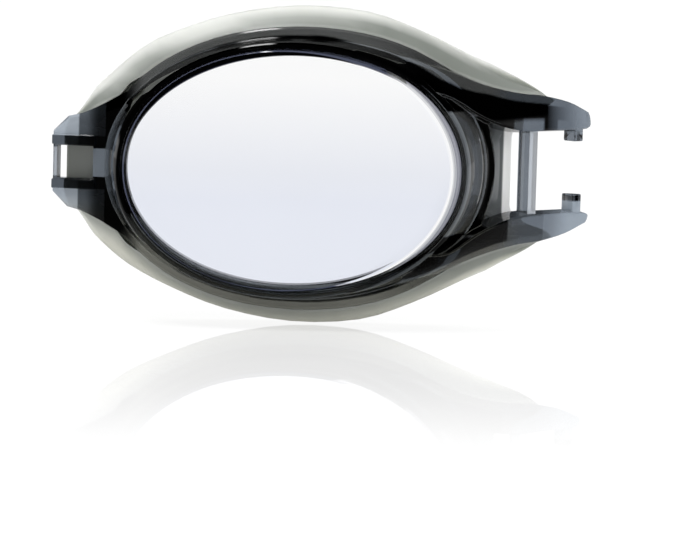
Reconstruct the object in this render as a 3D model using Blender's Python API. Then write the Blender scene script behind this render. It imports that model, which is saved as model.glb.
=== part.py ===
"""Optical eyepiece of a pair of clip-together swimming goggles: a lens, the cup frame that holds it
and the soft gasket behind the frame.

The origin is the centre of the lens's front face. +X runs to the temple, +Y back to the face and
+Z up. The eyepiece is the same above and below Z = 0 but for its two temple arms.

Behind the flat lens the frame spreads out on a plate that wraps back towards the temple and, less,
towards the nose. A place on the plate is given as (along, up, out): along the plate from the
lens's centre, up from Z = 0, and out of the plate's middle towards the front.
"""

import math

import bmesh
import bpy
import numpy as np

MM = 0.001
COLLECTION = "swim_goggle_eyepiece"

# Gap between pieces that touch
CLEARANCE = 0.3 * MM

# Lens: flat in front, hollow ground behind, eased and sloping out towards the temple
FACE_HALF_WIDTH = 21.8 * MM
FACE_HALF_HEIGHT = 15.7 * MM
LENS_CENTRE_THICKNESS = 1.6 * MM
LENS_REAR_RADIUS = 230.0 * MM
LENS_EDGE_BEVEL = 0.2 * MM
LENS_TEMPLE_BEVEL = 1.5 * MM
LENS_TEMPLE_DROP = 0.4 * MM
LENS_SIDE_DRAFT = 0.1 * MM
LENS_TEMPLE_SLOPE = 0.6 * MM
LENS_SLOPE_DEPTH = 1.7 * MM
OVAL_POWER = 2.05

# Seat of the lens in the frame
LEDGE_WIDTH = 0.8 * MM
LEDGE_WIDTH_NOSE = 0.5 * MM
LEDGE_WIDTH_TEMPLE = 0.4 * MM
LEDGE_THICKNESS = 1.8 * MM
RIM_WIDTH = 0.6 * MM
RIM_STEP = 0.5 * MM
RIM_TEMPLE_STEP = 1.7 * MM
RIM_CHAMFER = 0.2 * MM

# Cup wall, from the rim back to the flange
CUP_DEPTH = 6.0 * MM
WALL_THICKNESS = 1.2 * MM
WALL_FLARE_SIDE = 0.4 * MM
WALL_FLARE_NOSE = 1.5 * MM
WALL_FLARE_TEMPLE = 3.3 * MM
WALL_FILLET = 0.7 * MM

# Flange round the foot of the wall
FLANGE_THICKNESS = 1.4 * MM
FLANGE_WIDTH_SIDE = 1.5 * MM
FLANGE_WIDTH_NOSE = 0.9 * MM
FLANGE_WIDTH_TEMPLE = 2.0 * MM
FLANGE_EDGE_CHAMFER = 0.25 * MM

# How the plate wraps: straight in the middle, then an arc, then straight again
TEMPLE_BEND_START = 6.0 * MM
TEMPLE_BEND_RADIUS = 36.0 * MM
TEMPLE_WRAP = math.radians(40)
NOSE_BEND_START = 10.0 * MM
NOSE_BEND_RADIUS = 50.0 * MM
NOSE_WRAP = math.radians(12)

# The two temple arms: their outer edges match, and the upper one reaches nearer to the axis
ARM_REACH = 17.2 * MM
ARM_ROOT = 19.8 * MM
ARM_INNER_UPPER = 4.9 * MM
ARM_INNER_LOWER = 5.8 * MM
ARM_OUTER = 9.8 * MM
ARM_CREST_SETBACK = 0.3 * MM
ARM_CREST_RISE = 5.2 * MM
ARM_TIP_RISE = 1.2 * MM
ARM_TIP_RADIUS = 0.95 * MM
ARM_EDGE_FRONT = 0.7 * MM
ARM_BACK = 1.25 * MM
ARM_BACK_RUN = 3.0 * MM

# Crossbar between the arms, and the two lugs that face each other at their tips
BAR_WIDTH = 1.65 * MM
BAR_DEPTH = 2.2 * MM
BAR_FRONT = 1.05 * MM
BAR_OFFSET = 6.3 * MM
LUG_OFFSET = 14.8 * MM
LUG_END = 3.6 * MM
SMALL_BEVEL = 0.18 * MM

# Nose tab, with a slot for the nose strap between two ribs
TAB_LENGTH = 6.4 * MM
TAB_END_HALF_HEIGHT = 4.05 * MM
TAB_SHOULDER_HALF_HEIGHT = 6.0 * MM
TAB_SHOULDER = 2.0 * MM
TAB_ROOT_HALF_HEIGHT = 9.6 * MM
TAB_EDGE_FRONT = 0.4 * MM
TAB_FACE_FRONT = 1.0 * MM
TAB_BACK = 0.8 * MM
SLOT_LENGTH = 4.9 * MM
SLOT_HALF_HEIGHT = 2.15 * MM
SLOT_BAR = 0.7 * MM
RIB_WIDTH = 1.3 * MM
RIB_SETBACK = 0.12 * MM
RIB_RISE = 1.7 * MM
RIB_LENGTH = 5.9 * MM

# Gasket
GASKET_OVERHANG_NOSE = 1.5 * MM
GASKET_OVERHANG_TEMPLE = 2.15 * MM
GASKET_BULGE_BACK = 3.6 * MM
GASKET_DEPTH = 7.6 * MM
GASKET_FOOT_WIDTH = 2.3 * MM
GASKET_FOOT_THICKNESS = 0.9 * MM
GASKET_FLAP_THICKNESS = 0.8 * MM
GASKET_LIP_OUT = 1.4 * MM
GASKET_LIP_IN = 1.2 * MM
GASKET_LIP_ROUND = 0.5 * MM
GASKET_EDGE_RISE = 0.3 * MM
GASKET_WEB_REACH = 4.7 * MM
GASKET_EAR_REACH = 12.0 * MM
GASKET_EAR_INSET = 2.4 * MM
GASKET_NOSE_REACH = 4.9 * MM

STATIONS = 120
GASKET_STEPS = 3


class Oval:
    """An oval outline from nose to temple and half a height each way, a little squarer than an ellipse."""

    def __init__(self, nose, temple, half_height):
        self.nose = nose
        self.temple = temple
        self.half_height = half_height
        self.centre = (nose + temple) / 2
        self.half_width = (temple - nose) / 2

    def grown(self, nose, temple, side):
        return Oval(self.nose - nose, self.temple + temple, self.half_height + side)

    def point(self, angle):
        c, s = math.cos(angle), math.sin(angle)
        share = 2 / OVAL_POWER
        along = self.centre + math.copysign(abs(c) ** share, c) * self.half_width
        return along, math.copysign(abs(s) ** share, s) * self.half_height

    def outward(self, angle):
        along, up = self.point(angle)
        power = OVAL_POWER - 1
        x = (along - self.centre) / self.half_width
        z = up / self.half_height
        x = math.copysign(abs(x) ** power, x) / self.half_width
        z = math.copysign(abs(z) ** power, z) / self.half_height
        size = math.hypot(x, z)
        return x / size, z / size

    def height_at(self, along):
        share = min(1.0, abs(along - self.centre) / self.half_width)
        return self.half_height * (1 - share**OVAL_POWER) ** (1 / OVAL_POWER)

    def nose_side_at(self, up):
        share = min(1.0, abs(up) / self.half_height)
        return self.centre - self.half_width * (1 - share**OVAL_POWER) ** (1 / OVAL_POWER)


FACE = Oval(-FACE_HALF_WIDTH, FACE_HALF_WIDTH, FACE_HALF_HEIGHT)
BASE = FACE.grown(LENS_SIDE_DRAFT, LENS_TEMPLE_SLOPE, LENS_SIDE_DRAFT)
APERTURE = BASE.grown(-LEDGE_WIDTH_NOSE, -LEDGE_WIDTH_TEMPLE, -LEDGE_WIDTH)
BORE = BASE.grown(CLEARANCE, CLEARANCE, CLEARANCE)
RIM = BORE.grown(RIM_WIDTH, RIM_WIDTH, RIM_WIDTH)
FOOT = RIM.grown(WALL_FLARE_NOSE, WALL_FLARE_TEMPLE, WALL_FLARE_SIDE)
INNER_FOOT = FOOT.grown(-WALL_THICKNESS, -WALL_THICKNESS, -WALL_THICKNESS)
MIDDLE_FOOT = FOOT.grown(-WALL_THICKNESS / 2, -WALL_THICKNESS / 2, -WALL_THICKNESS / 2)
FLANGE = FOOT.grown(FLANGE_WIDTH_NOSE, FLANGE_WIDTH_TEMPLE, FLANGE_WIDTH_SIDE)

HALF_FLANGE = FLANGE_THICKNESS / 2


def plate(along):
    """(x, y, angle) of the plate's middle this far along it."""
    if along > TEMPLE_BEND_START:
        start, radius, wrap, side = TEMPLE_BEND_START, TEMPLE_BEND_RADIUS, TEMPLE_WRAP, 1
    else:
        start, radius, wrap, side = NOSE_BEND_START, NOSE_BEND_RADIUS, NOSE_WRAP, -1
    run = side * along - start
    if run <= 0:
        return along, CUP_DEPTH, 0.0
    turn = min(run / radius, wrap)
    rest = run - turn * radius
    x = start + radius * math.sin(turn) + rest * math.cos(turn)
    y = CUP_DEPTH + radius * (1 - math.cos(turn)) + rest * math.sin(turn)
    return side * x, y, side * turn


def on_plate(along, up, out, back=0.0):
    """The point at this place on the plate, moved straight back by back."""
    x, y, angle = plate(along)
    return x + out * math.sin(angle), y - out * math.cos(angle) + back, up


def mix(a, b, share):
    return tuple(p + (q - p) * share for p, q in zip(a, b))


def smooth(share):
    share = min(1.0, max(0.0, share))
    return share * share * (3 - 2 * share)


def frame_back(along):
    """How far behind the plate's middle the frame reaches: further on the arms than under the cup."""
    cup = max(HALF_FLANGE, TAB_BACK)
    return cup + (ARM_BACK - cup) * smooth((along - FLANGE.temple) / ARM_BACK_RUN)


def through(rows, steps, closed):
    """Rows on a smooth curve through these rows, this many steps between two of them."""
    rows = np.array(rows, float)
    if not closed:
        rows = np.vstack([2 * rows[0] - rows[1], rows, 2 * rows[-1] - rows[-2]])
    count = len(rows) if closed else len(rows) - 3
    found = []
    for i in range(count):
        a, b, c, d = (rows[(i + k - (1 if closed else 0)) % len(rows)] for k in range(4))
        for step in range(steps):
            t = step / steps
            found.append(
                b + 0.5 * t * (c - a + t * (2 * a - 5 * b + 4 * c - d + t * (3 * (b - c) + d - a)))
            )
    if not closed:
        found.append(rows[-2])
    return [tuple(row) for row in found]


def angles():
    return [2 * math.pi * i / STATIONS for i in range(STATIONS)]


def material(name, colour, roughness, alpha=1.0):
    made = bpy.data.materials.new(name)
    made.use_nodes = True
    shader = made.node_tree.nodes["Principled BSDF"]
    shader.inputs["Base Color"].default_value = (*colour, 1)
    shader.inputs["Roughness"].default_value = roughness
    shader.inputs["Metallic"].default_value = 0.0
    shader.inputs["Alpha"].default_value = alpha
    return made


def add(name, mesh, group, finish=None):
    """A new object with this mesh, its faces turned outwards and shaded smooth between sharp edges."""
    bm = bmesh.new()
    bm.from_mesh(mesh)
    bmesh.ops.recalc_face_normals(bm, faces=bm.faces)
    bm.to_mesh(mesh)
    bm.free()
    mesh.shade_smooth()
    mesh.set_sharp_from_angle(angle=math.radians(32))
    made = bpy.data.objects.new(name, mesh)
    group.objects.link(made)
    if finish:
        mesh.materials.append(finish)
    return made


def loft(name, rings, closed_path):
    """A mesh over closed rings of as many points each. An open path is capped at both ends."""
    count = len(rings[0])
    points = [point for ring in rings for point in ring]
    faces = []
    for i in range(len(rings) if closed_path else len(rings) - 1):
        following = (i + 1) % len(rings)
        for j in range(count):
            k = (j + 1) % count
            faces.append((i * count + j, i * count + k, following * count + k, following * count + j))
    if not closed_path:
        faces.append(tuple(range(count)))
        faces.append(tuple(range((len(rings) - 1) * count, len(rings) * count)))
    mesh = bpy.data.meshes.new(name)
    mesh.from_pydata(points, [], faces)
    return mesh


def lens_rear(x, z):
    """How far behind the front face the hollow rear of the lens lies."""
    return LENS_CENTRE_THICKNESS + (x * x + z * z) / (2 * LENS_REAR_RADIUS)


def make_lens(group, finish):
    def front(oval, y, temple_y):
        found = []
        for a in angles():
            along, up = oval.point(a)
            found.append((along, y + (temple_y - y) * smooth(math.cos(a)), up))
        return found

    def rear(share):
        found = []
        for a in angles():
            x, z = BASE.point(a)
            x, z = x * share, z * share
            found.append((x, lens_rear(x, z), z))
        return found

    flat = FACE.grown(-LENS_EDGE_BEVEL, -LENS_TEMPLE_BEVEL, -LENS_EDGE_BEVEL)
    rings = [
        front(flat, 0.0, 0.0),
        front(FACE, LENS_EDGE_BEVEL, LENS_TEMPLE_DROP),
        front(BASE, LENS_SLOPE_DEPTH, LENS_SLOPE_DEPTH),
    ]
    rings += [rear(share) for share in (1.0, 0.97, 0.8, 0.6, 0.4, 0.2)]
    return add("optical_lens", loft("optical_lens", rings, closed_path=False), group, finish)


def cup_ring():
    """The rim, wall and flange of the cup: one cross-section for each angle round the lens."""
    raised = HALF_FLANGE + WALL_FILLET
    filleted = FOOT.grown(WALL_FILLET, WALL_FILLET, WALL_FILLET)
    part_filleted = FOOT.grown(WALL_FILLET * 0.3, WALL_FILLET * 0.3, WALL_FILLET * 0.3)
    edge = -FLANGE_EDGE_CHAMFER
    trimmed = FLANGE.grown(edge, edge, edge)
    under_ledge = APERTURE.grown(LEDGE_WIDTH, LEDGE_WIDTH, LEDGE_WIDTH)
    rings = []
    for a in angles():
        temple = smooth(math.cos(a))
        rim_y = RIM_STEP + (RIM_TEMPLE_STEP - RIM_STEP) * temple

        def flat(oval, y, inset=0.0):
            along, up = oval.point(a)
            out = oval.outward(a)
            return along - out[0] * inset, y, up - out[1] * inset

        def bent(oval, out):
            return on_plate(*oval.point(a), out)

        bore = flat(BORE, 0)
        seat_y = lens_rear(bore[0], bore[2]) + CLEARANCE
        rim_edge = flat(RIM, rim_y + RIM_CHAMFER)
        foot = bent(FOOT, raised)
        rings.append(
            [
                flat(BORE, rim_y + RIM_CHAMFER / 2),
                flat(BORE, rim_y, -RIM_CHAMFER / 2),
                flat(RIM, rim_y, RIM_CHAMFER),
                rim_edge,
                mix(rim_edge, foot, 0.35),
                mix(rim_edge, foot, 0.7),
                foot,
                bent(part_filleted, HALF_FLANGE + WALL_FILLET * 0.3),
                bent(filleted, HALF_FLANGE),
                bent(trimmed, HALF_FLANGE),
                bent(FLANGE, HALF_FLANGE - FLANGE_EDGE_CHAMFER),
                bent(FLANGE, FLANGE_EDGE_CHAMFER - HALF_FLANGE),
                bent(trimmed, -HALF_FLANGE),
                bent(INNER_FOOT, -HALF_FLANGE),
                flat(under_ledge, seat_y + LEDGE_THICKNESS),
                flat(APERTURE, seat_y + LEDGE_THICKNESS),
                flat(APERTURE, seat_y),
                flat(BORE, seat_y),
            ]
        )
    return loft("cup_ring", rings, closed_path=True)


def arm_rails(side):
    """Rows of (along, crest up, crest out, inner up, outer up, outer out) from the root of an arm to its tip.

    Within the cup the rails lie inside its wall and flange. Past them the arm runs free. Side is +1
    for the upper arm and -1 for the lower one.
    """
    end = FLANGE.temple
    inner = ARM_INNER_UPPER if side > 0 else ARM_INNER_LOWER
    crest = inner + ARM_CREST_SETBACK
    outer = ARM_OUTER
    front = ARM_EDGE_FRONT
    rise = ARM_CREST_RISE

    def rooted(offset, crest_out, outer_inset):
        along = end - offset
        x = on_plate(along, 0, crest_out)[0]
        middle = MIDDLE_FOOT.height_at(along)
        inset = RIM_WIDTH / 2
        inside = RIM.height_at(x) - inset if crest_out > 2 * HALF_FLANGE else middle
        return along, inside, crest_out, middle, FLANGE.height_at(along) - outer_inset, HALF_FLANGE * 0.6

    return [
        rooted(ARM_ROOT, HALF_FLANGE * 0.7, 1.6 * MM),
        rooted(ARM_ROOT - 4 * MM, HALF_FLANGE * 3, 1.3 * MM),
        rooted(ARM_ROOT - 7.5 * MM, rise, 0.9 * MM),
        (end - 8.8 * MM, crest + 4.4 * MM, rise * 0.9, inner + 5.1 * MM, outer + 4.0 * MM, front * 0.8),
        (end - 4.8 * MM, crest + 2.2 * MM, rise * 0.7, inner + 2.8 * MM, outer + 2.45 * MM, front),
        (end - 0.8 * MM, crest + 0.8 * MM, rise * 0.52, inner + 0.9 * MM, outer + 1.25 * MM, front),
        (end + 4.2 * MM, crest, rise * 0.36, inner, outer + 0.35 * MM, front),
        (end + ARM_REACH - 8.5 * MM, crest, rise * 0.29, inner, outer, front),
        (end + ARM_REACH - 4 * MM, crest, ARM_TIP_RISE * 1.1, inner, outer - 0.85 * MM, front),
        (end + ARM_REACH - ARM_TIP_RADIUS, crest + 0.1 * MM, ARM_TIP_RISE, inner, outer - 1.95 * MM, front),
    ]


def arm(side):
    """One temple arm, on side +1 above the axis or -1 below it."""
    rows = through(arm_rails(side), 3, closed=False)
    along, crest_up, crest_out, inner_up, outer_up, outer_out = rows[-1]
    middle = (inner_up + outer_up) / 2
    for turn in (35, 60, 78):
        narrow = math.cos(math.radians(turn))
        rows.append(
            (
                along + ARM_TIP_RADIUS * math.sin(math.radians(turn)),
                middle + (crest_up - middle) * narrow,
                outer_out + (crest_out - outer_out) * narrow,
                middle + (inner_up - middle) * narrow,
                middle + (outer_up - middle) * narrow,
                outer_out,
            )
        )
    rings = []
    for along, crest_up, crest_out, inner_up, outer_up, outer_out in rows:
        back = -frame_back(along)
        ring = [on_plate(along, side * inner_up, back), on_plate(along, side * crest_up, crest_out - SMALL_BEVEL)]
        for share in (0.06, 0.25, 0.45, 0.65, 0.83, 0.95):
            out = outer_out + (crest_out - outer_out) * (1 - share**1.8)
            ring.append(on_plate(along, side * (crest_up + (outer_up - crest_up) * share), out))
        ring.append(on_plate(along, side * outer_up, outer_out - SMALL_BEVEL))
        ring.append(on_plate(along, side * outer_up, back))
        rings.append(ring)
    return loft("arm", rings, closed_path=False)


def tab_wing():
    """The upper edge of the nose tab, from the flange to the tab's end."""
    end = FLANGE.nose - TAB_LENGTH
    root = FLANGE.nose_side_at(TAB_ROOT_HALF_HEIGHT)
    return [
        (root, TAB_ROOT_HALF_HEIGHT),
        (root + (end - root) * 0.33, TAB_SHOULDER_HALF_HEIGHT + 1.7 * MM),
        (root + (end - root) * 0.61, TAB_SHOULDER_HALF_HEIGHT + 0.45 * MM),
        (end + TAB_SHOULDER, TAB_SHOULDER_HALF_HEIGHT),
        (end, TAB_END_HALF_HEIGHT),
    ]


def nose_tab():
    """The nose tab: a thin margin and a raised face. Its root follows the middle of the cup wall."""

    def outline(root_half_height, wing):
        limit = math.asin(root_half_height / MIDDLE_FOOT.half_height)
        root = [MIDDLE_FOOT.point(math.pi + limit * k / 6) for k in range(-6, 7)]
        return root + [(along, -up) for along, up in wing] + list(reversed(wing))

    wing = tab_wing()
    eased = [
        (wing[0][0] - 1.1 * MM, wing[0][1] - 1.8 * MM),
        (wing[1][0] - 0.1 * MM, wing[1][1] - 0.95 * MM),
        (wing[2][0] + 0.3 * MM, wing[2][1] - 0.4 * MM),
        (wing[3][0] + 0.2 * MM, wing[3][1] - 0.25 * MM),
        (wing[4][0] + 0.15 * MM, wing[4][1] - 0.1 * MM),
    ]
    margin = outline(TAB_ROOT_HALF_HEIGHT - 0.6 * MM, wing)
    face = outline(TAB_ROOT_HALF_HEIGHT - 2.0 * MM, eased)
    rings = [
        [on_plate(*point, -TAB_BACK) for point in margin],
        [on_plate(*point, TAB_EDGE_FRONT) for point in margin],
        [on_plate(*point, TAB_FACE_FRONT) for point in face],
    ]
    return loft("nose_tab", rings, closed_path=False)


def block(name, group, length, height, depth, along, up, out, bevel=SMALL_BEVEL):
    """A box with eased edges, square to the plate at this place on one of its straight ends."""
    mesh = bpy.data.meshes.new(name)
    bm = bmesh.new()
    bmesh.ops.create_cube(bm, size=1.0)
    bmesh.ops.scale(bm, vec=(length, depth, height), verts=bm.verts)
    if bevel:
        bmesh.ops.bevel(bm, geom=bm.edges, offset=bevel, segments=2, profile=0.5, affect="EDGES")
    bm.to_mesh(mesh)
    bm.free()
    made = add(name, mesh, group)
    made.location = on_plate(along, up, out)
    made.rotation_euler = (0, 0, plate(along)[2])
    return made


def combine(target, other, operation):
    modifier = target.modifiers.new(other.name, "BOOLEAN")
    modifier.operation = operation
    modifier.solver = "EXACT"
    modifier.object = other


def make_frame(group, helpers, finish):
    """Cup, arms, crossbar, lugs and nose tab, moulded in one piece."""
    frame = add("eyepiece_frame", cup_ring(), group, finish)
    end = FLANGE.temple
    bar = end + BAR_OFFSET
    lug = end + LUG_OFFSET
    tab_end = FLANGE.nose - TAB_LENGTH
    overlap = 1.0 * MM
    bar_out = BAR_FRONT - BAR_DEPTH / 2
    pieces = [add("nose_tab", nose_tab(), helpers)]
    for side, word in ((1, "upper"), (-1, "lower")):
        pieces.append(add(f"{word}_arm", arm(side), helpers))
        inner = ARM_INNER_UPPER if side > 0 else ARM_INNER_LOWER
        height = inner + overlap - LUG_END
        up = side * (LUG_END + height / 2)
        pieces.append(block(f"{word}_lug", helpers, BAR_WIDTH, height, BAR_DEPTH, lug, up, bar_out))
        depth = RIB_RISE + TAB_BACK - 0.1 * MM
        up = side * (SLOT_HALF_HEIGHT + RIB_SETBACK + RIB_WIDTH / 2)
        middle = tab_end + 0.1 * MM + RIB_LENGTH / 2
        out = RIB_RISE - depth / 2
        pieces.append(block(f"{word}_rib", helpers, RIB_LENGTH, RIB_WIDTH, depth, middle, up, out))
    height = ARM_INNER_UPPER + ARM_INNER_LOWER + 2 * overlap
    up = (ARM_INNER_UPPER - ARM_INNER_LOWER) / 2
    pieces.append(block("crossbar", helpers, BAR_WIDTH, height, BAR_DEPTH, bar, up, bar_out))
    for piece in pieces:
        combine(frame, piece, "UNION")
    slot = tab_end + SLOT_BAR + SLOT_LENGTH / 2
    depth = 4 * (RIB_RISE + TAB_BACK)
    cutter = block("nose_slot", helpers, SLOT_LENGTH, 2 * SLOT_HALF_HEIGHT, depth, slot, 0.0, 0.0, bevel=0)
    combine(frame, cutter, "DIFFERENCE")
    return frame


def seat_at(along):
    """The height out of the plate at which the gasket lies behind the frame."""
    return -frame_back(along) - CLEARANCE


def gasket_rows():
    """Rows of (angle, inner edge, outer edge, raise, flap, back) round the upper half, from temple to nose.

    The inner edge is where the gasket meets the edge of the frame, and the outer edge is its outline.
    raise is 1 where it stands beside the frame's edge and 0 where it passes behind the frame, flap is
    1 where it is a thin flap, and back is how far behind the plate its outline lies.
    """
    end = FLANGE.temple
    nose = FLANGE.nose
    tab_end = nose - TAB_LENGTH
    rails = arm_rails(1)

    def arm_edge(along):
        for a, b in zip(rails, rails[1:]):
            if a[0] <= along <= b[0]:
                return a[4] + (b[4] - a[4]) * (along - a[0]) / (b[0] - a[0])
        return rails[-1][4]

    def beside_flange(degrees, overhang, raised, flap, back):
        angle = math.radians(degrees)
        point, out = FLANGE.point(angle), FLANGE.outward(angle)
        inner = (point[0] + out[0] * CLEARANCE, point[1] + out[1] * CLEARANCE)
        outer = (inner[0] + out[0] * overhang, inner[1] + out[1] * overhang)
        return angle, *inner, *outer, raised, flap, back

    def beside_arm(degrees, offset, overhang, raised, flap, back):
        along = end + offset
        inner = arm_edge(along) + CLEARANCE
        return math.radians(degrees), along, inner, along + 0.3 * overhang, inner + overhang, raised, flap, back

    def beside_tab(degrees, index, share, overhang, raised, flap, back):
        """Beside the tab's edge, this share of the way from one of its corners to the next."""
        first, second = tab_wing()[index : index + 2]
        along, up = mix(first, second, share)
        run, rise = second[0] - first[0], second[1] - first[1]
        size = math.hypot(run, rise)
        out = (rise / size, -run / size)
        inner = (along + out[0] * CLEARANCE, up + out[1] * CLEARANCE)
        outer = (inner[0] + out[0] * overhang, inner[1] + out[1] * overhang)
        return math.radians(degrees), *inner, *outer, raised, flap, back

    web = end + GASKET_WEB_REACH
    ear = end + GASKET_EAR_REACH
    inside = ARM_OUTER - GASKET_EAR_INSET
    rows = []
    for degrees, up in ((0, 0.0), (6, 2.6 * MM), (10.5, 4.4 * MM)):
        row = beside_flange(degrees, 0.0, 1, 1, 0)
        rows.append((*row[:3], web, up, *row[5:]))
    row = beside_flange(15, 0.0, 0, 1, 0)
    rows.append((*row[:3], web + 0.1 * MM, inside - 1.2 * MM, *row[5:]))
    rows += [
        (math.radians(20), end + 3.7 * MM, inside - 0.2 * MM, web + 1.0 * MM, inside - 0.4 * MM, 0, 1, 0),
        (math.radians(25), ear - 3.0 * MM, inside + 1.3 * MM, ear - 2.2 * MM, inside + 0.7 * MM, 0, 1, 0),
        (math.radians(29), ear - 1.2 * MM, inside + 1.8 * MM, ear - 0.5 * MM, inside + 1.8 * MM, 0, 1, 0),
        beside_arm(31.5, 10.7 * MM, 0.1 * MM, 0, 1.0, 0),
        beside_arm(33, 9.2 * MM, 0.55 * MM, 1, 1.0, 0.1 * MM),
        beside_arm(36, 6.2 * MM, 1.4 * MM, 1, 0.9, 0.6 * MM),
        beside_arm(41, 1.2 * MM, 2.3 * MM, 1, 0.75, 1.4 * MM),
        beside_arm(48, -4.3 * MM, 2.6 * MM, 1, 0.4, 2.6 * MM),
    ]
    for degrees, overhang in (
        (58, GASKET_OVERHANG_TEMPLE),
        (74, GASKET_OVERHANG_TEMPLE),
        (92, GASKET_OVERHANG_TEMPLE - 0.3 * MM),
        (110, GASKET_OVERHANG_NOSE),
        (127, GASKET_OVERHANG_NOSE + 0.1 * MM),
        (142, GASKET_OVERHANG_NOSE + 1.1 * MM),
    ):
        rows.append(beside_flange(degrees, overhang, 1, 0, GASKET_BULGE_BACK))
    reach = nose - GASKET_NOSE_REACH
    rows += [
        beside_tab(152, 0, 0.75, 2.6 * MM, 1, 0.3, 2.8 * MM),
        beside_tab(159, 1, 0.7, 1.6 * MM, 1, 0.7, 1.4 * MM),
        beside_tab(164, 2, 0.7, 0.35 * MM, 1, 1, 0.4 * MM),
        beside_tab(167, 2, 0.95, 0.3 * MM, 0, 1, 0),
        (math.radians(169), reach + 0.8 * MM, 4.9 * MM, reach, 5.1 * MM, 0, 1, 0),
        (math.radians(174), reach + 0.8 * MM, 2.6 * MM, reach, 2.6 * MM, 0, 1, 0),
        (math.radians(180), reach + 0.8 * MM, 0.0, reach, 0.0, 0, 1, 0),
    ]
    return rows


def make_gasket(group, finish):
    """The soft seal: a foot behind the flange, a skirt that swells outwards and a lip for the face."""
    upper = gasket_rows()
    lower = [(2 * math.pi - a, s, -h, t, -u, r, f, b) for a, s, h, t, u, r, f, b in reversed(upper[1:-1])]
    whole = upper + lower
    # The rows before and after this turn keep the curve smooth where it closes.
    before = [(whole[-1][0] - 2 * math.pi, *whole[-1][1:])]
    after = [(row[0] + 2 * math.pi, *row[1:]) for row in whole[:2]]
    rows = through(before + whole + after, GASKET_STEPS, closed=False)
    rows = rows[GASKET_STEPS : GASKET_STEPS * (len(whole) + 1)]
    rings = []

    def seated(point):
        return on_plate(*point, seat_at(point[0]))

    for angle, in_along, in_up, out_along, out_up, raised, flap, back in rows:
        raised = min(1.0, max(0.0, raised))
        flap = min(1.0, max(0.0, flap))
        back = max(0.0, back)
        flange_point = FLANGE.point(angle)
        away = FLANGE.outward(angle)

        def beyond(distance):
            return flange_point[0] + away[0] * distance, flange_point[1] + away[1] * distance

        foot = beyond(-GASKET_FOOT_WIDTH)
        inner = (in_along, in_up)
        outer = (out_along, out_up)
        lip = beyond(GASKET_LIP_OUT)
        seat = seat_at(flange_point[0])
        hidden = seat_at(in_along) + 0.1 * MM
        top = hidden + (GASKET_EDGE_RISE - hidden) * raised
        swell = back / GASKET_BULGE_BACK
        flap_under = seat_at(out_along) - GASKET_FLAP_THICKNESS
        edge_out = seat_at(out_along) * (0.75 + 0.3 * flap)
        near, far = 0.5 - 0.1 * flap, 0.86 - 0.3 * flap * raised
        near_out = top - (top - edge_out) * (0.25 + 0.45 * flap)
        far_out = top - (top - edge_out) * (0.7 + 0.3 * flap)
        full_side = on_plate(*mix(outer, lip, 0.35), edge_out, back + 1.4 * MM)
        full_low = on_plate(*mix(outer, lip, 0.75), edge_out, back + 2.7 * MM)
        flap_side = on_plate(*mix(outer, inner, 0.04), flap_under)
        flap_low = on_plate(*beyond(GASKET_LIP_OUT + 0.4 * MM), flap_under - 0.2 * MM)
        rings.append(
            [
                seated(foot),
                seated(mix(foot, inner, 0.35)),
                seated(mix(foot, inner, 0.7)),
                seated(inner),
                on_plate(*inner, top),
                on_plate(*mix(inner, outer, near), near_out, 0.9 * MM * swell),
                on_plate(*mix(inner, outer, far), far_out, 2.2 * MM * swell),
                on_plate(*outer, edge_out, back),
                mix(full_side, flap_side, flap),
                mix(full_low, flap_low, flap),
                on_plate(*lip, seat, GASKET_DEPTH - GASKET_LIP_ROUND * 1.4),
                on_plate(*beyond(GASKET_LIP_OUT - 0.8 * MM), seat, GASKET_DEPTH),
                on_plate(*beyond(-GASKET_LIP_IN), seat, GASKET_DEPTH - GASKET_LIP_ROUND),
                on_plate(*beyond(-0.2 * MM), seat, GASKET_DEPTH * 0.66),
                on_plate(*beyond(-1.0 * MM), seat, GASKET_DEPTH * 0.28),
                on_plate(*beyond(-GASKET_FOOT_WIDTH), seat - GASKET_FOOT_THICKNESS),
            ]
        )
    return add("face_gasket", loft("face_gasket", rings, closed_path=True), group, finish)


def main():
    for found in list(bpy.data.objects):
        bpy.data.objects.remove(found)
    group = bpy.data.collections.new(COLLECTION)
    helpers = bpy.data.collections.new("construction")
    bpy.context.scene.collection.children.link(group)
    bpy.context.scene.collection.children.link(helpers)
    helpers.hide_render = True

    clear = material("clear_polycarbonate", (0.86, 0.89, 0.96), 0.03, alpha=0.3)
    smoke = material("smoke_polycarbonate", (0.02, 0.02, 0.025), 0.06)
    silicone = material("grey_silicone", (0.33, 0.34, 0.31), 0.38)

    make_lens(group, clear)
    make_frame(group, helpers, smoke)
    make_gasket(group, silicone)
    for helper in helpers.objects:
        helper.hide_render = True
        helper.display_type = "WIRE"


main()
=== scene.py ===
"""Looks of the swimming goggle eyepiece: smoke-tinted frame, clear lens and grey silicone gasket.

The part's axes are +X to the temple, +Y back to the face and +Z up. Places and widths that pick out
a region of the part are in millimetres. A slope runs from one such place to another. The floor's
height and size, the lights and the camera are in metres.
"""

import math

import bpy
from mathutils import Matrix, Vector
from mathutils.bvhtree import BVHTree


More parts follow.
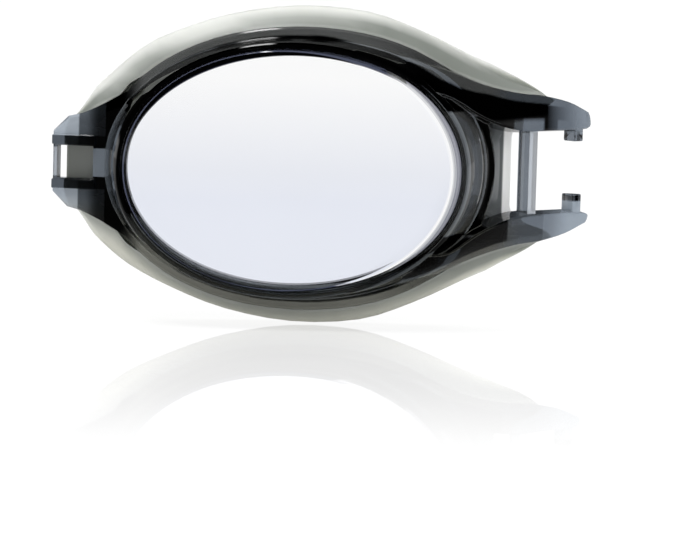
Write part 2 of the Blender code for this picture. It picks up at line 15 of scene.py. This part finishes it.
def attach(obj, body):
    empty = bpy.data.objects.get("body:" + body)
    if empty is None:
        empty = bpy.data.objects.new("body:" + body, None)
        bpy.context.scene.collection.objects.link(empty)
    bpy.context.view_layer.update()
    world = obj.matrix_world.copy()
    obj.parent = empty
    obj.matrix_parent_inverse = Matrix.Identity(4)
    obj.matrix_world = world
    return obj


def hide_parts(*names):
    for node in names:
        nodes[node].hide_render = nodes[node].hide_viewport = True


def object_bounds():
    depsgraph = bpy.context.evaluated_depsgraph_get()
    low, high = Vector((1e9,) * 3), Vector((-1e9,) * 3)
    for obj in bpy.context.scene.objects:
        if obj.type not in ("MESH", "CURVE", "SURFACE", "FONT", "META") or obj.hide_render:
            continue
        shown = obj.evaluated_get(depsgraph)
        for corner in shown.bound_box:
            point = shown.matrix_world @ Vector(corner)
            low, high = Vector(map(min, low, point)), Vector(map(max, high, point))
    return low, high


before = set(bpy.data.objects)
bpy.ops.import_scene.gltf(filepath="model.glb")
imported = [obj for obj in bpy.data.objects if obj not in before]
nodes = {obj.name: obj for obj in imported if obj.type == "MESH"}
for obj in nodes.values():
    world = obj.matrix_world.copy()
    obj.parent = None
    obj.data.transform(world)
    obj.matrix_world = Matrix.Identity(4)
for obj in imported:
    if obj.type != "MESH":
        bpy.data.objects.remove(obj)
cad_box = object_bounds()

MM = 0.001

# The outline is nearly an oval as far as the oval's end, and runs on from there to the temple fork.
OVAL_HALF_LENGTH = 26.0
OVAL_HALF_HEIGHT = 17.0
OVAL_END = 20.0

# Nose tab: its root, where the gasket ends behind it, and its two ribs above and below the slot
TAB_ROOT = -24.5
GASKET_NOSE_END = -28.1
RIB_INNER = 1.8
RIB_OUTER = 3.4

# Temple fork: arms, crossbar, lugs, and the gasket's web behind the crossbar
UPPER_ARM_START = 29.5
LOWER_ARM_START = 29.1
LOWER_ARM_CLEAR = 34.2
FORK_HALF_HEIGHT = 4.4
BAR_START = 28.9
BAR_HALF_HEIGHT = 4.2
LUG_START = 36.0
WEB_START = 28.5
WEB_HALF_HEIGHT = 7.0

# Grey margin of painted light on the flange, and how far in from the frame's outline is measured
MARGIN_WIDTH = 0.9
INSET_STEP = 0.1
INSET_STEPS = 40
INSET_MOST = INSET_STEP * INSET_STEPS

# A face that looks back by more than this belongs to the back.
BACK_FACING = 0.3

# A place along Y in front of the whole part
AHEAD = -30.0

# Refraction of lens and frame, and of the gasket
POLYCARBONATE_IOR = 1.585
SILICONE_IOR = 1.41

BLACK = (0.0, 0.0, 0.0)
WHITE = (1.0, 1.0, 1.0)


def ramp(value, start, end):
    """0 up to start and 1 from end, with an even bend between them."""
    share = min(1.0, max(0.0, (value - start) / (end - start)))
    return share * share * (3 - 2 * share)


# Meshes


def smooth(obj, degrees):
    """Welds the mesh and shades it smooth, but for edges sharper than this."""
    if "custom_normal" in obj.data.attributes:
        obj.data.attributes.remove(obj.data.attributes["custom_normal"])
    tree = bpy.data.node_groups.new(f"smooth_{obj.name}", "GeometryNodeTree")
    tree.interface.new_socket("Geometry", in_out="INPUT", socket_type="NodeSocketGeometry")
    tree.interface.new_socket("Geometry", in_out="OUTPUT", socket_type="NodeSocketGeometry")
    make, link = tree.nodes.new, tree.links.new
    start = make("NodeGroupInput")
    weld = make("GeometryNodeMergeByDistance")
    weld.inputs["Distance"].default_value = 0.001 * MM
    faces = make("GeometryNodeSetShadeSmooth")
    faces.domain = "FACE"
    edges = make("GeometryNodeSetShadeSmooth")
    edges.domain = "EDGE"
    angle = make("GeometryNodeInputMeshEdgeAngle")
    below = make("FunctionNodeCompare")
    below.data_type = "FLOAT"
    below.operation = "LESS_THAN"
    below.inputs[1].default_value = math.radians(degrees)
    end = make("NodeGroupOutput")
    link(start.outputs[0], weld.inputs["Geometry"])
    link(weld.outputs[0], faces.inputs["Geometry"])
    link(faces.outputs[0], edges.inputs["Geometry"])
    link(angle.outputs["Unsigned Angle"], below.inputs[0])
    link(below.outputs[0], edges.inputs["Shade Smooth"])
    link(edges.outputs[0], end.inputs[0])
    obj.modifiers.new("smooth", "NODES").node_group = tree


def place_of(obj, point):
    """A point of the object's mesh, in millimetres from the part's origin."""
    return obj.matrix_world @ point / MM


def tree_of(obj):
    points = [place_of(obj, vertex.co) for vertex in obj.data.vertices]
    return BVHTree.FromPolygons(points, [tuple(face.vertices) for face in obj.data.polygons])


def mark(obj, name, measure):
    """Stores a number at each face corner, from its place, the way its face looks and the face's middle."""
    values = [0.0] * len(obj.data.loops)
    for face in obj.data.polygons:
        middle = place_of(obj, face.center)
        for corner in face.loop_indices:
            vertex = obj.data.vertices[obj.data.loops[corner].vertex_index]
            values[corner] = measure(place_of(obj, vertex.co), face.normal, middle)
    numbers = obj.data.attributes.new(name, "FLOAT", "CORNER")
    numbers.data.foreach_set("value", values)


def outwards(place):
    """The way out of the oval from here, or straight up or down beside the fork."""
    along = place.x / OVAL_HALF_LENGTH**2 if place.x < OVAL_END else 0.0
    return Vector((along, 0, place.z / OVAL_HALF_HEIGHT**2)).normalized()


# Materials


class NodeMaker:
    """Makes nodes in one tree. A value may be a number, a colour or the result of another node."""

    def __init__(self, tree):
        self.tree = tree
        self.node = tree.nodes.new
        self.link = tree.links.new

    def give(self, value, socket):
        if isinstance(value, bpy.types.NodeSocket):
            self.link(value, socket)
        elif isinstance(value, tuple):
            socket.default_value = (*value, 1)
        else:
            socket.default_value = value

    def maths(self, operation, first, second=0.0):
        made = self.node("ShaderNodeMath")
        made.operation = operation
        self.give(first, made.inputs[0])
        self.give(second, made.inputs[1])
        return made.outputs[0]

    def times(self, first, *others):
        for other in others:
            first = self.maths("MULTIPLY", first, other)
        return first

    def most(self, first, *others):
        for other in others:
            first = self.maths("MAXIMUM", first, other)
        return first

    def rest(self, value):
        return self.maths("SUBTRACT", 1.0, value)

    def between(self, value, start, end, low, high, bend):
        made = self.node("ShaderNodeMapRange")
        made.interpolation_type = bend
        for name, number in (("From Min", start), ("From Max", end), ("To Min", low), ("To Max", high)):
            made.inputs[name].default_value = number
        self.link(value, made.inputs["Value"])
        return made.outputs["Result"]

    def slope(self, value, start, end, low, high):
        """low up to start and high from end, with an even bend between them."""
        return self.between(value, start, end, low, high, "SMOOTHSTEP")

    def rise(self, value, start, end, top=1.0):
        return self.slope(value, start, end, 0.0, top)

    def fall(self, value, start, end, top=1.0):
        return self.slope(value, start, end, top, 0.0)

    def spread(self, value, low, high, start=0.3, end=0.7):
        """Straight from low to high. The usual start and end suit a noise."""
        return self.between(value, start, end, low, high, "LINEAR")

    def blend(self, value, first, second):
        made = self.node("ShaderNodeMix")
        made.data_type = "RGBA"
        self.give(first, made.inputs["A"])
        self.give(second, made.inputs["B"])
        self.link(value, made.inputs["Factor"])
        return made.outputs["Result"]

    def noise(self, scale, detail=2.0):
        made = self.node("ShaderNodeTexNoise")
        made.inputs["Scale"].default_value = scale
        made.inputs["Detail"].default_value = detail
        self.link(self.node("ShaderNodeTexCoord").outputs["Object"], made.inputs["Vector"])
        return made.outputs["Fac"]

    def stored(self, name):
        made = self.node("ShaderNodeAttribute")
        made.attribute_name = name
        return made.outputs["Fac"]

    def apart(self, vector):
        made = self.node("ShaderNodeSeparateXYZ")
        self.link(vector, made.inputs[0])
        return made.outputs["X"], made.outputs["Y"], made.outputs["Z"]

    def place(self):
        """The surface's place along X, Y and Z in millimetres."""
        made = self.node("ShaderNodeVectorMath")
        made.operation = "SCALE"
        made.inputs["Scale"].default_value = 1 / MM
        self.link(self.node("ShaderNodeTexCoord").outputs["Object"], made.inputs[0])
        return self.apart(made.outputs[0])

    def rounded(self, radius, samples):
        made = self.node("ShaderNodeBevel")
        made.samples = samples
        made.inputs["Radius"].default_value = radius
        return made.outputs["Normal"]

    def edge_line(self, width):
        """1 along edges and 0 elsewhere."""
        alike = self.node("ShaderNodeVectorMath")
        alike.operation = "DOT_PRODUCT"
        self.link(self.rounded(width, 8), alike.inputs[0])
        self.link(self.node("ShaderNodeNewGeometry").outputs["Normal"], alike.inputs[1])
        return self.spread(alike.outputs["Value"], 1.0, 0.0, 0.9, 0.985)

    def bump(self, shader, value, depth, rounding=0.0):
        """Waves the surface a little. Its edges can look rounded too."""
        made = self.node("ShaderNodeBump")
        made.inputs["Strength"].default_value = 1.0
        made.inputs["Distance"].default_value = depth
        self.link(value, made.inputs["Height"])
        if rounding:
            self.link(self.rounded(rounding, 6), made.inputs["Normal"])
        self.link(made.outputs["Normal"], shader.inputs["Normal"])

    def absorb(self, colour, density):
        """Colours the inside of a clear material, more where it is thicker."""
        made = self.node("ShaderNodeVolumeAbsorption")
        made.inputs["Color"].default_value = (*colour, 1)
        made.inputs["Density"].default_value = density
        self.link(made.outputs["Volume"], self.tree.nodes["Material Output"].inputs["Volume"])


def new_material(name):
    made = bpy.data.materials.new(name)
    made.use_nodes = True
    return made, NodeMaker(made.node_tree), made.node_tree.nodes["Principled BSDF"]


def cup_painted_light(make, x, z):
    """A grey margin of painted light where the gasket shows through, paler below and darker towards the
    temple. The lower wall is a little grey too, a painted reflection of the floor.
    """
    from_edge = make.stored("inset")
    pale = make.times(make.slope(z, -4.0, 0.0, 0.64, 0.43), make.slope(x, 8.0, 20.0, 1.0, 0.68))
    margin = make.times(make.fall(from_edge, MARGIN_WIDTH, MARGIN_WIDTH + 0.4), pale)
    wall = make.times(make.fall(z, -7.0, -3.0, 0.22), make.slope(x, 6.0, 14.0, 1.0, 0.3))
    wall = make.times(wall, make.fall(from_edge, INSET_MOST - 0.4, INSET_MOST - 0.2))
    return make.times(make.most(margin, wall), make.rise(x, -22.5, -19.0))


def upper_arm_painted_light(make, x, z):
    """Dark but for painted light seen through two windows at its lower edge and through its tip."""
    arm = make.times(
        make.rise(x, UPPER_ARM_START, UPPER_ARM_START + 0.4),
        make.rise(z, FORK_HALF_HEIGHT, FORK_HALF_HEIGHT + 0.3),
    )
    from_gap = make.maths("ABSOLUTE", make.maths("SUBTRACT", x, 35.0))
    windows = make.times(make.fall(z, 6.3, 7.0, 0.36), make.rise(from_gap, 0.8, 1.2))
    return make.times(arm, make.most(windows, make.rise(x, 34.5, 40.5, 0.62)))


def lower_arm_painted_light(make, x, z):
    """Painted light seen through it, brighter in two steps towards the tip."""
    arm = make.times(
        make.rise(x, LOWER_ARM_START, LOWER_ARM_START + 0.3),
        make.fall(z, -FORK_HALF_HEIGHT - 0.3, -FORK_HALF_HEIGHT),
    )
    step = make.slope(x, LOWER_ARM_CLEAR, LOWER_ARM_CLEAR + 0.3, 0.36, 0.5)
    return make.times(arm, make.maths("ADD", step, make.rise(x, LOWER_ARM_CLEAR + 0.3, 38.5, 0.36)))


def tab_painted_light(make, x, height, rib):
    """Its wings are pale with painted light seen through them, up to where the gasket begins behind them.
    The two ribs are dark.
    """
    wing = make.times(
        make.slope(x, GASKET_NOSE_END, GASKET_NOSE_END + 0.3, 0.76, 0.42),
        make.slope(x, -27.2, -25.2, 1.0, 0.3),
    )
    inner = make.fall(height, RIB_INNER, RIB_INNER + 0.2)
    panel = make.times(inner, make.slope(x, -30.0, -29.0, 0.4, 0.6))
    tab = make.maths("ADD", make.times(wing, make.rest(inner)), panel)
    return make.times(tab, make.rest(rib), make.fall(x, TAB_ROOT, TAB_ROOT + 0.2))


def smoke_material():
    """A dark glass. It lets light through where it is thin. A milky grey of painted light stands for light
    seen through thin parts and the gasket, with painted reflections on some walls.
    """
    made, make, shader = new_material("smoke_polycarbonate")
    x, _, z = make.place()
    height = make.maths("ABSOLUTE", z)
    rib = make.times(
        make.rise(height, RIB_INNER, RIB_INNER + 0.2, 0.86),
        make.fall(height, RIB_OUTER, RIB_OUTER + 0.2),
    )
    # The painted light of the bar, the lugs and the cup's end walls is stored.
    in_fork = make.times(make.fall(height, 7.9, 8.3), make.rise(x, 10.0, 20.0))
    fixed = make.times(make.stored("painted_light"), make.most(in_fork, make.fall(x, 0.0, 10.0)))
    # A painted highlight: a thin line of light along the long edges on the temple side.
    crest_highlight = make.times(make.edge_line(0.25 * MM), make.rise(x, 16.5, 19.0, 0.5), make.fall(x, 27.5, 28.5))
    painted_light = make.most(
        cup_painted_light(make, x, z),
        upper_arm_painted_light(make, x, z),
        lower_arm_painted_light(make, x, z),
        tab_painted_light(make, x, height, rib),
        fixed,
        crest_highlight,
    )
    painted_light = make.times(painted_light, make.stored("front"))

    grain = make.noise(260.0)
    tint = make.blend(grain, (0.96, 0.97, 0.99), (0.9, 0.91, 0.93))
    wing = make.times(make.fall(x, GASKET_NOSE_END, GASKET_NOSE_END + 0.3, 0.72), make.rest(rib))
    clear = make.maths("POWER", make.most(make.stored("clearness"), wing), 2.0)

    # The painted light is bluish at both ends and olive below.
    painted_light_colour = make.blend(grain, (0.41, 0.425, 0.42), (0.45, 0.465, 0.46))
    ends = make.most(make.fall(x, -24.0, -20.0), make.rise(x, 26.0, 30.0))
    painted_light_colour = make.blend(ends, painted_light_colour, (0.37, 0.425, 0.49))
    below = make.times(make.fall(z, -9.0, -4.0), make.fall(x, 26.0, 32.0))
    painted_light_colour = make.blend(below, painted_light_colour, (0.43, 0.435, 0.38))

    make.give(make.blend(painted_light, make.blend(clear, BLACK, tint), painted_light_colour), shader.inputs["Base Color"])
    make.give(make.rest(painted_light), shader.inputs["Transmission Weight"])
    make.give(make.spread(grain, 0.02, 0.045), shader.inputs["Roughness"])
    make.give(POLYCARBONATE_IOR, shader.inputs["IOR"])
    make.bump(shader, make.noise(120.0), 0.003 * MM, 0.2 * MM)
    make.absorb((0.03, 0.12, 0.24), 340.0)
    return made


def lens_material(half_height):
    """Nearly clear, with painted light and shade: paler towards the top, a painted crescent on the temple
    bevel and a painted dark rim.
    """
    made, make, shader = new_material("clear_lens")
    x, _, z = make.place()
    grain = make.noise(90.0)
    tint = make.blend(grain, (0.78, 0.805, 0.88), (0.8, 0.825, 0.9))
    # Painted light: the lens is paler towards the top.
    body = make.blend(make.spread(z, 0.0, 1.0, -4.0, 12.0), tint, WHITE)
    rim = make.blend(grain, (0.004, 0.005, 0.012), (0.008, 0.01, 0.02))

    def oval(centre, oval_half_length, oval_half_height):
        """0 at the centre and 1 on the oval."""
        along = make.maths("DIVIDE", make.maths("SUBTRACT", x, centre), oval_half_length)
        up = make.maths("DIVIDE", z, oval_half_height)
        squares = [make.maths("POWER", make.maths("ABSOLUTE", share), 2.0) for share in (along, up)]
        return make.maths("SQRT", make.maths("ADD", *squares))

    # On the temple side a painted crescent of highlight and shade: a white, a grey and a lavender line
    outward = oval(0.0, 21.1, half_height)
    temple = make.rise(x, 6.0, 10.0)
    for start, colour in ((0.984, WHITE), (1.004, (0.5, 0.51, 0.54)), (1.026, (0.13, 0.135, 0.17))):
        body = make.blend(make.times(temple, make.rise(outward, start, start + 0.006)), body, colour)

    # Painted shade: a dark ring above
    above = make.times(make.fall(x, 12.0, 16.0), make.rise(z, 2.0, 8.0))
    painted_shade_ring = make.times(make.rise(oval(0.65, 22.0, 15.0), 0.996, 1.006), above)
    body = make.blend(painted_shade_ring, body, rim)

    # Painted shade: the lens's edge is dark where rim is marked.
    make.give(make.blend(make.stored("rim"), body, rim), shader.inputs["Base Color"])
    make.give(make.spread(grain, 0.0, 0.003), shader.inputs["Roughness"])
    make.give(1.0, shader.inputs["Transmission Weight"])
    make.give(POLYCARBONATE_IOR, shader.inputs["IOR"])
    make.absorb((0.7, 0.8, 0.95), 8.0)
    return made


def silicone_material():
    """Painted light and shade: paler towards the thin lip and in the thin web of the fork, with a painted
    highlight beside the frame and two bands in painted shade.
    """
    made, make, shader = new_material("grey_silicone")
    x, _, z = make.place()
    grain = make.noise(320.0, 4.0)
    cloud = make.noise(60.0)
    # Painted light and shade: root is the shade beside the frame, lip the light at the thin lip.
    root = make.blend(cloud, (0.19, 0.205, 0.185), (0.23, 0.245, 0.225))
    lip = make.blend(cloud, (0.62, 0.63, 0.6), (0.68, 0.69, 0.66))
    lip = make.blend(make.fall(x, -12.0, -4.0), lip, (0.68, 0.69, 0.66))
    lip = make.blend(make.fall(z, -12.0, -4.0), lip, (0.6, 0.6, 0.53))
    # A painted highlight: a paler line right beside the frame.
    edge = make.spread(make.stored("from_frame"), 0.6, 0.0, 0.3, 0.7)
    skin = make.blend(edge, make.blend(make.stored("painted_lip_light"), root, lip), (0.42, 0.43, 0.4))
    # Painted shade on the band behind the cup's temple side and the flap behind the nose slot.
    skin = make.blend(make.stored("painted_shade"), skin, (0.12, 0.13, 0.135))
    # Painted light: the thin web between the arms is nearly white, as if lit through.
    between_arms = make.fall(make.maths("ABSOLUTE", z), WEB_HALF_HEIGHT, WEB_HALF_HEIGHT + 0.5)
    web = make.times(make.rise(x, WEB_START, WEB_START + 0.3), between_arms)
    make.give(make.blend(web, skin, (0.97, 0.98, 0.97)), shader.inputs["Base Color"])
    make.give(make.spread(grain, 0.3, 0.42), shader.inputs["Roughness"])
    make.give(0.5, shader.inputs["Subsurface Weight"])
    shader.inputs["Subsurface Radius"].default_value = (1.0, 1.0, 0.9)
    make.give(2.0 * MM, shader.inputs["Subsurface Scale"])
    make.give(SILICONE_IOR, shader.inputs["IOR"])
    make.bump(shader, grain, 0.012 * MM)
    return made


def dress(obj, finish):
    obj.data.materials.clear()
    obj.data.materials.append(finish)


# Frame

body = nodes["eyepiece_frame"]
body_tree = tree_of(body)


def front(place, outward, middle):
    return 0.0 if outward.y > BACK_FACING else 1.0


def clearness(place, outward, middle):
    """How much light the surface lets in: 0 is black and 1 is clear. Only the front is tinted."""
    height = abs(middle.z)
    if outward.y > BACK_FACING:
        return 1.0
    if middle.x > LUG_START and height < FORK_HALF_HEIGHT:
        return 0.3
    if middle.x > BAR_START and height < BAR_HALF_HEIGHT:
        return 0.3 if outward.x < -0.3 else 1.0
    if middle.x > BAR_START:
        return 0.0 if middle.z > 0 else 0.12
    return 0.0


def painted_light(place, outward, middle):
    """How much milky painted light the bar, the lugs, the seat's front and the cup's two end walls show."""
    x = middle.x
    if x > LUG_START and abs(middle.z) < FORK_HALF_HEIGHT:
        return 0.36
    if x > BAR_START and abs(middle.z) < FORK_HALF_HEIGHT:
        return 0.42 if outward.x < -0.3 else 0.45
    if 20.0 < x < 26.4 and outward.y > -0.5 and outward.x > 0.6:
        return 0.32
    if x > 20.0 and place.y < 2.2 and outward.y < -0.5:
        return 0.2
    return 0.5 * ramp(place.y, 2.0, 6.5) if x < -21.5 and outward.x < -0.7 else 0.0


def inset(place, outward, middle):
    """How far the moulding goes on outwards from here, seen from the front."""
    if outward.y > BACK_FACING:
        return INSET_MOST
    # The gasket shows further in at the upper temple side, so the rim is counted from there.
    shift = 0.0
    if place.z > 0:
        shift = 0.5 * ramp(place.x, 4.0, 10.0) * (1 - ramp(place.x, 22.0, 27.0))
    for step in range(1, INSET_STEPS + 1):
        start = Vector((place.x, AHEAD, place.z)) + outwards(place) * step * INSET_STEP
        if body_tree.ray_cast(start, Vector((0, 1, 0)))[0] is None:
            return step * INSET_STEP - shift
    return INSET_MOST - shift


mark(body, "front", front)
mark(body, "painted_light", painted_light)
mark(body, "inset", inset)
mark(body, "clearness", clearness)
smooth(body, 32)
dress(body, smoke_material())

# Lens

lens = nodes["optical_lens"]


def rim(place, outward, middle):
    """Painted shade, dark round the lens's edge, but for the wide bevel on the temple side."""
    return 1.0 if place.x < 8.0 and abs(outward.y) <= 0.97 else 0.0


mark(lens, "rim", rim)
smooth(lens, 10)
lens_half_height = max(corner[2] for corner in lens.bound_box) / MM
dress(lens, lens_material(lens_half_height))

# The soft gasket is a piece of its own, rounded where the solid has facets.

skin = bpy.data.objects.new("gasket_skin", nodes["face_gasket"].data.copy())
bpy.context.scene.collection.objects.link(skin)


def spot(place):
    """A key that is the same for all face corners at one place."""
    return tuple(round(number, 3) for number in place)


meeting = {}
for face in skin.data.polygons:
    for index in face.vertices:
        key = spot(place_of(skin, skin.data.vertices[index].co))
        meeting[key] = meeting.get(key, Vector()) + face.normal * face.area


def from_frame(place, outward, middle):
    return body_tree.find_nearest(place)[3]


def painted_lip_light(place, outward, middle):
    """Painted light and shade: 0 is shade beside the frame and 1 is light at the lip, which is narrower
    towards the ends. The back is plain grey.
    """
    gap = body_tree.find_nearest(place)[3]
    if place.z > 0:
        shift = 1.4 * ramp(place.x, 6.0, 16.0) + 1.2 * ramp(-place.x, 13.0, 21.0)
        shift -= 0.9 * ramp(-place.x, 3.0, 10.0)
        seen = ramp(gap - shift, 0.6, 2.8)
    else:
        seen = ramp(gap - 1.2 * ramp(place.x, 14.0, 24.0), -0.2, 2.6)
    # The faces that meet here turn to the back together, so no triangle stands out.
    back = ramp(meeting[spot(place)].normalized().y, 0.0, 0.5)
    return seen * (1 - back) + 0.55 * back


def painted_shade(place, outward, middle):
    """Painted shade on the band behind the cup's temple side, and on the flap behind the nose slot, both
    seen from outside.
    """
    if place.x > 20.0 and abs(place.z) < 8.5:
        return 1.0 if outward.x > 0.3 else 0.0
    return 0.4 if place.x < -22.0 and abs(place.z) < 3.5 and outward.y < -0.3 else 0.0


mark(skin, "painted_shade", painted_shade)
mark(skin, "from_frame", from_frame)
mark(skin, "painted_lip_light", painted_lip_light)
for point in skin.data.vertices:
    # The upper lip stands out a little further than the solid's, most on the nose side.
    place = place_of(skin, point.co)
    nearest, _, _, gap = body_tree.find_nearest(place)
    away = ramp(gap, 0.8, 3.0) if place.z > 0 else 0.0
    push = (0.6 - 0.015 * place.x) * away * ramp(place.x, TAB_ROOT, TAB_ROOT + 8.0)
    point.co += outwards(place) * push * MM
    # Where the solid keeps clear of the frame, the skin closes up to it.
    if gap < 0.5:
        point.co += (nearest - place) * max(0.0, 1 - 0.06 / gap) * MM
    # Its nose end stays behind the wings.
    point.co.z *= 1 - 0.12 * ramp(-place.x, 25.5, 28.5)
smooth(skin, 50)
dress(skin, silicone_material())
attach(skin, "root")
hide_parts("face_gasket")


# Floor, world and lights

FLOOR = cad_box[0][2] - 0.2 * MM
FLOOR_HALF_SIZE = 6.0
# Brightness of the white ground
GLOW = 1.05


def floor_material():
    """White with a soft shadow, and a mirror image that fades towards the front."""
    made, make, principled = new_material("pale_floor")
    make.tree.nodes.remove(principled)
    y = make.place()[1]
    path = make.node("ShaderNodeLightPath").outputs
    glossy, through, camera = (path[f"Is {kind} Ray"] for kind in ("Glossy", "Transmission", "Camera"))

    # Reflections and light bent inside clear pieces find the floor dark in front.
    reflected = make.most(make.maths("SUBTRACT", glossy, through), 0.0)
    dimmer = make.times(make.slope(y, 0.0, 80.0, 1.03, 0.5), reflected)
    bent = make.times(make.fall(y, -300.0, -50.0, 0.95), through)
    glow = make.node("ShaderNodeEmission")
    make.give(make.maths("SUBTRACT", GLOW, make.maths("ADD", dimmer, bent)), glow.inputs["Strength"])

    lit = make.node("ShaderNodeBsdfDiffuse")
    make.give((0.9, 0.9, 0.9), lit.inputs["Color"])
    seen = make.node("ShaderNodeMixShader")
    direct = make.times(camera, make.slope(y, 80.0, 400.0, 0.8, 1.0))
    make.give(make.most(glossy, through, direct, 0.4), seen.inputs["Fac"])
    make.link(lit.outputs[0], seen.inputs[1])
    make.link(glow.outputs[0], seen.inputs[2])

    mirror = make.node("ShaderNodeBsdfGlossy")
    make.give(WHITE, mirror.inputs["Color"])
    make.give(0.01, mirror.inputs["Roughness"])
    top = make.node("ShaderNodeMixShader")
    make.give(make.times(make.slope(y, -135.0, -35.0, 0.015, 0.28), camera), top.inputs["Fac"])
    make.link(seen.outputs[0], top.inputs[1])
    make.link(mirror.outputs[0], top.inputs[2])
    make.link(top.outputs[0], make.tree.nodes["Material Output"].inputs["Surface"])
    return made


def make_floor():
    mesh = bpy.data.meshes.new("floor")
    signs = ((-1, -1), (1, -1), (1, 1), (-1, 1))
    corners = [(along * FLOOR_HALF_SIZE, back * FLOOR_HALF_SIZE, FLOOR) for along, back in signs]
    mesh.from_pydata(corners, [], [(0, 1, 2, 3)])
    floor = bpy.data.objects.new("floor", mesh)
    bpy.context.scene.collection.objects.link(floor)
    mesh.materials.append(floor_material())


def make_world():
    """White seen directly and through clear pieces. Reflections find it bright behind and dark in front."""
    world = bpy.data.worlds.new("studio")
    bpy.context.scene.world = world
    world.use_nodes = True
    make = NodeMaker(world.node_tree)
    x, y, z = make.apart(make.node("ShaderNodeTexCoord").outputs["Generated"])
    path = make.node("ShaderNodeLightPath").outputs

    low = make.slope(z, 0.12, 0.2, 1.0, 0.01)
    behind = make.slope(y, -0.02, 0.1, 0.02, 1.0)
    right = make.slope(x, 0.2, 0.5, 1.0, 0.25)
    strip = make.times(make.rise(x, -0.25, -0.2), make.fall(x, -0.11, -0.07))
    overhead = make.times(make.rise(z, 0.92, 0.95, 10.0), strip)
    glossy = make.maths("ADD", make.times(low, behind, right), overhead)
    through = make.slope(y, -0.3, 0.1, 0.1, GLOW)
    strength = 0.6
    for kind, level in (("Glossy", glossy), ("Transmission", through), ("Camera", 1.0)):
        flag = path[f"Is {kind} Ray"]
        strength = make.maths("ADD", make.times(strength, make.rest(flag)), make.times(level, flag))
    background = world.node_tree.nodes["Background"]
    make.give(strength, background.inputs["Strength"])
    make.give(WHITE, background.inputs["Color"])


def area_light(name, place, size, power):
    """A soft light that looks at the part and isn't seen in it."""
    light = bpy.data.lights.new(name, "AREA")
    light.shape = "RECTANGLE"
    light.size, light.size_y = size
    light.energy = power
    obj = bpy.data.objects.new(name, light)
    obj.location = place
    obj.rotation_euler = (-Vector(place)).to_track_quat("-Z", "Y").to_euler()
    obj.visible_glossy = False
    obj.visible_transmission = False
    bpy.context.scene.collection.objects.link(obj)


make_floor()
make_world()
area_light("key", place=(-0.2, -0.25, 0.7), size=(0.5, 0.3), power=4.0)
area_light("rim", place=(0.1, 0.5, 0.6), size=(0.6, 0.3), power=3.0)
area_light("fill", place=(0.5, -0.3, 0.35), size=(0.3, 0.3), power=0.8)


# Camera

DISTANCE = 0.45
ELEVATION = math.radians(4.1)
ROLL = math.radians(1.5)
PIXEL = 0.13 * MM
LENS_PIXEL = (290.0, 171.5)
IMAGE_CENTRE = (340.0, 279.0)
IMAGE_WIDTH = 680
SENSOR_WIDTH = 36.0


def make_camera():
    """Sees the lens's centre at its place in the photo."""
    eye = Vector((0, -math.cos(ELEVATION), math.sin(ELEVATION))) * DISTANCE
    right, up = Vector((1, 0, 0)), Vector((0, math.sin(ELEVATION), math.cos(ELEVATION)))
    turned_right = right * math.cos(ROLL) + up * math.sin(ROLL)
    turned_up = up * math.cos(ROLL) - right * math.sin(ROLL)
    aim = turned_right * (IMAGE_CENTRE[0] - LENS_PIXEL[0]) * PIXEL
    aim -= turned_up * (IMAGE_CENTRE[1] - LENS_PIXEL[1]) * PIXEL
    back = (eye - aim).normalized()
    side = turned_up.cross(back).normalized()
    camera = bpy.data.cameras.new("camera")
    camera.sensor_width = SENSOR_WIDTH
    camera.lens = SENSOR_WIDTH * DISTANCE / PIXEL / IMAGE_WIDTH
    camera.clip_start = 0.01
    obj = bpy.data.objects.new("camera", camera)
    turn = Matrix((side, back.cross(side), back)).transposed().to_4x4()
    obj.matrix_world = Matrix.Translation(eye) @ turn
    bpy.context.scene.collection.objects.link(obj)
    bpy.context.scene.camera = obj


make_camera()
bpy.context.scene.view_settings.view_transform = "Standard"
